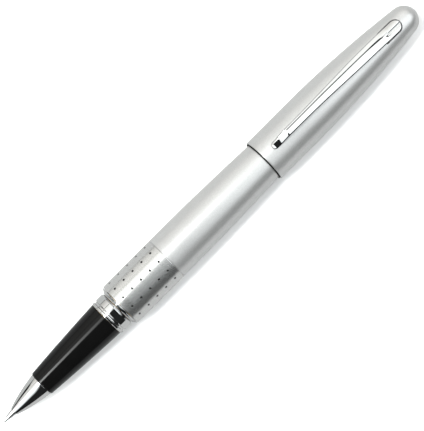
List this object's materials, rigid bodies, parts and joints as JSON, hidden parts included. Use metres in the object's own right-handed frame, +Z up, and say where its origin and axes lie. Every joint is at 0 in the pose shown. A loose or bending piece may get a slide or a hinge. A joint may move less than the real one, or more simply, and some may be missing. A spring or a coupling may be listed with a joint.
{
  "type": "rollerball pen",
  "caption": "Slim metal rollerball pen, cap posted on the barrel: black grip, chrome nose cone, ring and spring clip, dotted band, unscrewing front section and removable refill.",
  "frame": {"origin": "middle of the pen's footprint: the centre of its bounding box in X and Y, at the height of the surface it lies on", "axes": "+X along the pen from the writing tip to the end of the posted cap, +Z up with the clip on top, +Y across the pen"},
  "size_m": [0.1526, 0.013, 0.0148],
  "materials": {
    "satin_silver": "satin metallic silver lacquer",
    "bright_silver": "bright satin silver, printed with rows of black dots",
    "chrome": "mirror chrome",
    "black_gloss": "black, high gloss",
    "brass": "bare machined brass",
    "black_plastic": "matt black",
    "grey_plastic": "matt grey",
    "refill_steel": "drawn steel",
    "inked_fibre": "felted fibre soaked in black ink",
    "spring_steel": "spring wire",
    "carbide": "polished tungsten carbide"
  },
  "bodies": {
    "barrel": {"barrel_tube": "satin_silver", "dotted_band": "bright_silver", "barrel_front_ring": "chrome", "thread_insert": "brass", "tail_plug": "satin_silver", "tail_spring": "spring_steel"},
    "refill": {"point_holder": "refill_steel", "feed_rod": "inked_fibre", "tip_adapter": "black_plastic", "refill_tube": "refill_steel", "ink_reservoir": "inked_fibre", "refill_plug": "black_plastic"},
    "section": {"nose_cone": "chrome", "grip_shell": "black_gloss", "section_core": "brass", "snap_ring": "chrome"},
    "ball": {"writing_ball": "carbide"},
    "cap": {"cap_shell": "satin_silver", "inner_cap": "black_plastic", "clip_retainer": "grey_plastic"},
    "clip": {"clip": "chrome"}
  },
  "joints": [
    {"name": "cap_pull", "type": "slide", "parent": "barrel", "child": "cap", "axis": [1, 0, 0], "range_m": [0, 0.035]},
    {"name": "clip_flex", "type": "hinge", "parent": "cap", "child": "clip", "pos_m": [0.06836, 0, 0.01087], "axis": [0, 1, 0], "range_deg": [0, 3.5], "stiffness_Nm_per_rad": 2},
    {"name": "section_turn", "type": "hinge", "parent": "refill", "child": "section", "pos_m": [-0.03684, 0, 0.0065], "axis": [-1, 0, 0], "range_deg": [0, 1620]},
    {"name": "section_advance", "type": "slide", "parent": "barrel", "child": "refill", "axis": [-1, 0, 0], "range_m": [0, 0.0055]},
    {"name": "ball_roll", "type": "hinge", "parent": "refill", "child": "ball", "pos_m": [-0.07599, 0, 0.0065], "axis": [0, 1, 0], "continuous": true}
  ],
  "couplings": [
    {"joint": "section_advance", "follows": "section_turn", "m_per_rad": 0.00019099}
  ]
}
